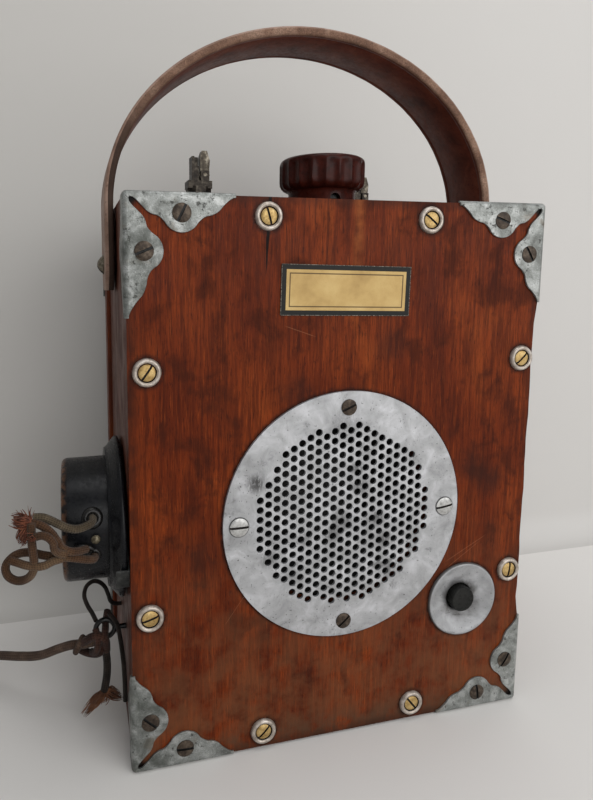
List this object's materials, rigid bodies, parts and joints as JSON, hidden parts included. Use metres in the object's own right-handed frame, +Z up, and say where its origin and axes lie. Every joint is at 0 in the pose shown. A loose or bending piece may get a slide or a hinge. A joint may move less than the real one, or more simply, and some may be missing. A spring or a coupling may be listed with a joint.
{
  "type": "field telephone",
  "caption": "Field telephone in an upright wooden case with metal corners, a leather carrying strap, a perforated mouthpiece plate, a push button, a selector knob and a hung receiver.",
  "frame": {"origin": "on the floor under the middle of the telephone, measured without its cords and plug", "axes": "+Z up, -Y out of the front panel with the mouthpiece plate, -X out of the side with the receiver"},
  "size_m": [0.4158, 0.1488, 0.3956],
  "materials": {
    "wood": "varnished",
    "zinc": "galvanised, worn",
    "brass": "tarnished",
    "aluminium": "scratched",
    "steel": "dull",
    "bronzed_steel": "bronzed",
    "iron": "blackened",
    "bakelite": "black",
    "brown_bakelite": "brown",
    "leather": "worn",
    "braid": "braided cotton",
    "card": "waxed card"
  },
  "bodies": {
    "case": {"front_panel": "wood", "left_board": "wood", "right_board": "wood", "top_board": "wood", "bottom_board": "wood", "back_cover": "wood", "bracket_front_top_left": "zinc", "bracket_front_top_right": "zinc", "bracket_front_bottom_left": "zinc", "bracket_front_bottom_right": "zinc", "bracket_back_top_left": "zinc", "bracket_back_top_right": "zinc", "bracket_back_bottom_left": "zinc", "bracket_back_bottom_right": "zinc", "panel_screw_top_left": "brass", "panel_screw_top_right": "brass", "panel_screw_right_high": "brass", "panel_screw_right_low": "brass", "panel_screw_bottom_right": "brass", "panel_screw_bottom_left": "brass", "panel_screw_left_low": "brass", "panel_screw_left_high": "brass", "grille_plate": "aluminium", "grille_screw_top": "steel", "grille_screw_right": "steel", "grille_screw_bottom": "steel", "grille_screw_left": "steel", "nameplate": "brass", "button_bezel": "aluminium", "button_contact": "brass", "selector_switch": "bakelite", "line_post_left": "steel", "line_post_right": "steel", "strap_screw_left": "bronzed_steel", "strap_screw_right": "bronzed_steel", "receiver_clip": "steel", "cord_eye": "iron", "line_cord": "braid", "line_cord_coil": "braid", "line_plug": "bakelite", "line_cord_tail": "braid", "side_lead": "braid", "loop_lead": "braid", "transmitter_unit": "iron", "dry_battery": "card", "induction_coil": "bronzed_steel"},
    "selector": {"selector_knob": "brown_bakelite", "knob_set_screw": "iron", "selector_shaft": "steel"},
    "button": {"push_button": "bakelite"},
    "left_lever": {"line_post_lever_left": "steel"},
    "right_lever": {"line_post_lever_right": "steel"},
    "strap": {"carry_strap": "leather"},
    "receiver": {"receiver_cap": "bakelite", "receiver_case": "bakelite", "receiver_terminal": "brass", "receiver_diaphragm": "steel", "receiver_magnet": "iron", "receiver_cord_upper": "braid", "receiver_cord_lower": "braid"}
  },
  "joints": [
    {"name": "selector_turn", "type": "hinge", "parent": "case", "child": "selector", "pos_m": [0.02325, -0.00325, 0.2933], "axis": [0, 0, 1], "range_deg": [-150, 150]},
    {"name": "button_press", "type": "slide", "parent": "case", "child": "button", "axis": [0, 1, 0], "range_m": [0, 0.003], "stiffness_N_per_m": 300, "springref_m": -0.003},
    {"name": "left_lever_open", "type": "hinge", "parent": "case", "child": "left_lever", "pos_m": [-0.05815, -0.03525, 0.3075], "axis": [0, 1, 0], "range_deg": [0, 15], "stiffness_Nm_per_rad": 0.1, "springref_deg": -17.19},
    {"name": "right_lever_open", "type": "hinge", "parent": "case", "child": "right_lever", "pos_m": [0.06415, 0.02275, 0.3075], "axis": [0, 1, 0], "range_deg": [0, 15], "stiffness_Nm_per_rad": 0.1, "springref_deg": -17.19},
    {"name": "strap_swing", "type": "hinge", "parent": "case", "child": "strap", "pos_m": [0.01145, 0.00075, 0.2613], "axis": [1, 0, 0], "range_deg": [-30, 30]},
    {"name": "receiver_lift", "type": "slide", "parent": "case", "child": "receiver", "axis": [-1, 0, 0], "range_m": [0, 0.05]}
  ]
}
